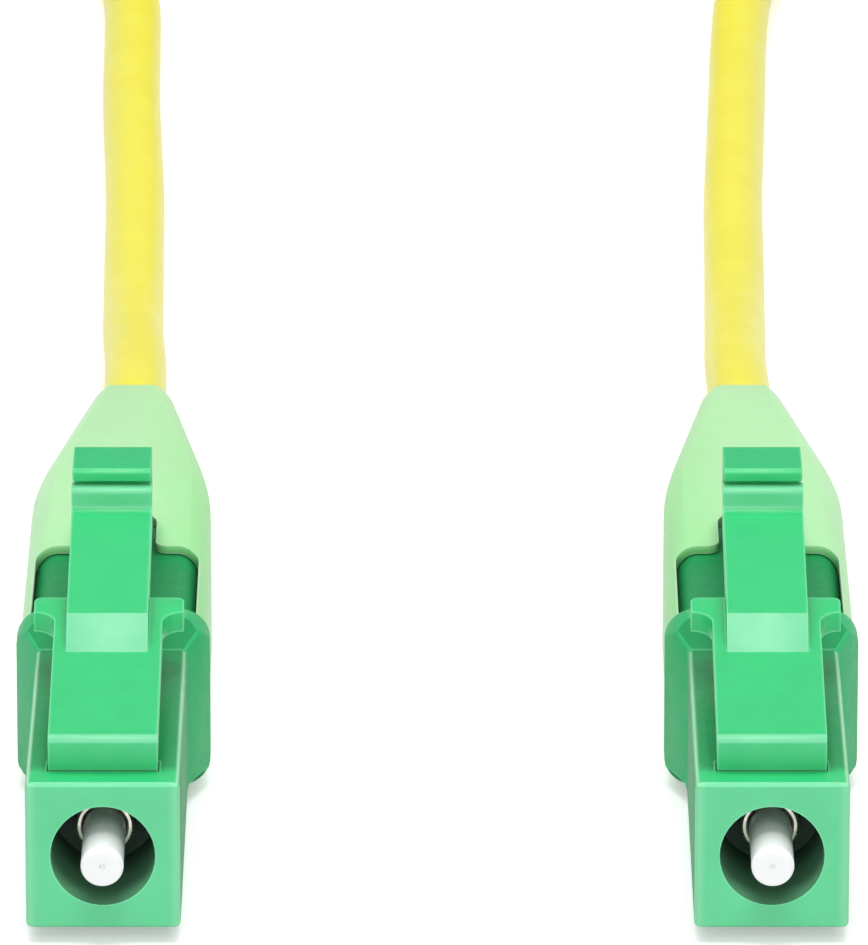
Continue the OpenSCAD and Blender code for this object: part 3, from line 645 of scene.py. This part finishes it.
def white_table():
    """A pale table that is seen as white, apart from the object's shadow."""
    bpy.ops.mesh.primitive_plane_add(size=TABLE_SIZE, location=(0, 0, 0))
    table = bpy.context.object
    table.name = "table"
    material, tree, shader = new_material("table")
    put(shader, {"Base Color": (TABLE_TONE, TABLE_TONE, TABLE_TONE, 1), "Roughness": 0.9,
                 "Specular IOR Level": 0.1})
    place = tree.nodes.new("ShaderNodeTexCoord")
    away = tree.nodes.new("ShaderNodeVectorMath")
    away.operation = "LENGTH"
    tree.links.new(place.outputs["Object"], away.inputs[0])
    glow = tree.nodes.new("ShaderNodeEmission")
    strength = spread(tree, away.outputs["Value"], *TABLE_FADE, TABLE_GLOW)
    tree.links.new(strength, glow.inputs["Strength"])
    none = tree.nodes.new("ShaderNodeEmission")
    put(none, {"Strength": 0})
    pick = tree.nodes.new("ShaderNodeMixShader")
    tree.links.new(direct_sight(tree), pick.inputs["Fac"])
    tree.links.new(none.outputs["Emission"], pick.inputs[1])
    tree.links.new(glow.outputs["Emission"], pick.inputs[2])
    both = tree.nodes.new("ShaderNodeAddShader")
    tree.links.new(pick.outputs["Shader"], both.inputs[0])
    tree.links.new(shader.outputs["BSDF"], both.inputs[1])
    tree.links.new(both.outputs["Shader"], tree.nodes["Material Output"].inputs["Surface"])
    give(table, material)


def white_world():
    world = bpy.data.worlds.new("world")
    world.use_nodes = True
    tree = world.node_tree
    background = tree.nodes["Background"]
    put(background, {"Color": (1, 1, 1, 1)})
    strength = spread(tree, direct_sight(tree), 0, 1, (WORLD_LIGHT, 1.0))
    tree.links.new(strength, background.inputs["Strength"])
    bpy.context.scene.world = world


def softbox(name, place, aim, size, power):
    data = bpy.data.lights.new(name, "AREA")
    data.shape = "RECTANGLE"
    data.size, data.size_y = size
    data.energy = power
    turn_to(add(name, data), place, aim)


# ---- The scene ----

make_camera()
cable = make_cable()
jacket = jacket_plastic()
give(cable, jacket)

# The plug's green, with a painted highlight along its edges and a painted shade where nearby pieces
# close it in.
green = moulded_plastic(
    "plug_green", colour=(0.03, 0.6, 0.2), deep=(0.026, 0.575, 0.19), edge=(0.2, 0.78, 0.4),
    roughness=0.36, glow=0.15, grain=0.3, recess=(0.012, 0.3, 0.09))
# A painted-shade copy of the plug's green, for its sides, behind the collar, the collar's foot and the
# flare's top.
shaded_green = moulded_plastic(
    "shaded_green", colour=(0.013, 0.36, 0.113), deep=(0.011, 0.335, 0.104), edge=(0.09, 0.6, 0.26),
    roughness=0.5, glow=0.1, grain=0.4, recess=(0.01, 0.22, 0.07), specular=0.25)
# A darker painted-shade copy of the plug's green, for the collar's sides and the trigger's top.
side_shade_green = moulded_plastic(
    "side_shade_green", colour=(0.038, 0.53, 0.195), deep=(0.034, 0.505, 0.185), edge=(0.1, 0.66, 0.3),
    roughness=0.5, glow=0.1, grain=0.4, specular=0.25)
# A paler painted-highlight copy of the plug's green, for the arm's bevel, the lip's top and the wall's
# rounded top edge.
bevel_highlight_green = moulded_plastic(
    "bevel_highlight_green", colour=(0.15, 0.66, 0.33), deep=(0.13, 0.64, 0.31), edge=(0.2, 0.76, 0.42),
    roughness=0.34, glow=0.15, grain=0.4)
# The plug's top, with a painted shadow of the latch from its foot on, painted highlights along its long
# edges and a painted shade where nearby pieces close it in.
top_green = moulded_plastic(
    "top_green", colour=(0.03, 0.6, 0.2), deep=(0.026, 0.575, 0.19), edge=(0.2, 0.78, 0.4),
    roughness=0.4, glow=0.15, grain=0.3, recess=(0.01, 0.27, 0.08),
    places=(((0.006, 0.32, 0.092), depth_mask, SHADED_DEPTHS),
            ((0.42, 0.84, 0.54), border_highlight_mask, RAIL_HIGHLIGHT)))
# A paler lit copy of the plug's green for the latch's front wall: painted light and reflection.
wall_lit_green = moulded_plastic(
    "wall_lit_green", colour=(0.07, 0.62, 0.25), deep=(0.06, 0.6, 0.24), edge=(0.2, 0.78, 0.4),
    roughness=0.4, glow=0.15, grain=0.3)
# A paler lit copy of the plug's green for the front faces and the lip's front: painted light and
# reflection, with painted highlights near the face's sides.
face_lit_green = moulded_plastic(
    "face_lit_green", colour=(0.13, 0.68, 0.32), deep=(0.12, 0.66, 0.31), edge=(0.2, 0.77, 0.42),
    roughness=0.42, glow=0.15, grain=0.4, places=(((0.27, 0.74, 0.42), border_highlight_mask, FACE_SIDE_HIGHLIGHT),))
# Painted shade inside the bore: the plug's plastic made darker, darker still deeper in and along its
# edges.
bore_shade_green = moulded_plastic(
    "bore_shade_green", colour=(0.13, 0.4, 0.21), deep=(0.12, 0.37, 0.19), edge=(0.05, 0.14, 0.08),
    roughness=0.5, glow=0.05, grain=0.4,
    places=(((0.09, 0.24, 0.14), depth_mask, BORE_SHADE_MOUTH),
            ((0.05, 0.1, 0.07), depth_mask, BORE_SHADE_BOTTOM)))
# The boot's green, with a painted highlight along its edges, a painted shade where nearby pieces close
# it in and a painted shade on its side towards the other plug.
boot_green = moulded_plastic(
    "boot_green", colour=(0.5, 0.95, 0.47), deep=(0.48, 0.93, 0.45), edge=(0.6, 0.97, 0.58),
    roughness=0.48, glow=0.3, grain=0.5, recess=(0.1, 0.42, 0.14), sheen=0.2,
    places=(((0.37, 0.88, 0.35), inner_shade_mask, BOOT_SHADE_INNER),))
ceramic = zirconia()
nickel = turned_metal("nickel", (0.62, 0.6, 0.55), (0.78, 0.76, 0.72), 0.24)
# The flange: nickel darkened as a painted shade and reflection of the bore, with a painted glint on its
# nose's rim.
shaded_flange = turned_metal("flange_shade_and_glint", (0.05, 0.045, 0.04), (0.09, 0.08, 0.07), 0.26,
                          rim=(0.85, 0.8, 0.72))
wire = turned_metal("spring_wire", (0.5, 0.5, 0.52), (0.68, 0.68, 0.7), 0.3)
white = plain_plastic("buffer_white", (0.84, 0.84, 0.8), (0.92, 0.92, 0.89), 0.45)
yarn = aramid()
glass = silica()

SOFTENED = {  # part: (body, material, slot, how far its edges are rounded)
    "front_housing": (ROOT, green, "green_plastic", 0.06 * MM),
    "rear_housing": (ROOT, green, "green_plastic", 0.06 * MM),
    "boot": (ROOT, boot_green, "boot_rubber", 0.08 * MM),
    "latch": ("latch_body", green, "green_plastic", 0.07 * MM),
    "trigger": ("trigger_body", green, "green_plastic", 0.07 * MM),
    "ferrule": ("ferrule_assembly_body", ceramic, "ceramic", 0.12 * MM),
    "ferrule_flange": ("ferrule_assembly_body", shaded_flange, "nickel_metal", 0.02 * MM),
}
# The other materials paint light and shade: lit and highlighted copies of the plug's green, and shaded
# ones.
REPAINTED = {  # part: its faces that get another material, where the last one holds
    "front_housing": ((shaded_green, on_plug_side), (top_green, on_plug_top), (bore_shade_green, in_bore),
                      (face_lit_green, on_front)),
    "latch": ((wall_lit_green, on_wall), (face_lit_green, on_lip), (bevel_highlight_green, on_bevel)),
    "trigger": ((side_shade_green, on_trigger_top),),
    "rear_housing": ((side_shade_green, on_collar_side), (shaded_green, behind_collar),
                     (shaded_green, on_collar_foot), (shaded_green, on_flare_top)),
}
KEPT = {
    "backpost": nickel,
    "crimp_sleeve": nickel,
    "guide_tube": white,
    "buffered_fibre": white,
    "cable_jacket": jacket,
    "aramid_yarn": yarn,
    "glass_fibre": glass,
}
for side in SIDES:
    for part, (body, material, slot, width) in SOFTENED.items():
        piece = softened(side, part, body if body == ROOT else side + "_" + body, width)
        give(piece, material)
        for other, chosen in REPAINTED.get(part, ()):
            repaint(piece, side, other, chosen)
    give(sprung(side), wire)
    for part, material in KEPT.items():
        give(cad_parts[side + "_" + part], material)

white_table()
white_world()
for lamp in LAMPS:
    softbox(*lamp)
bpy.context.scene.view_settings.view_transform = "Standard"
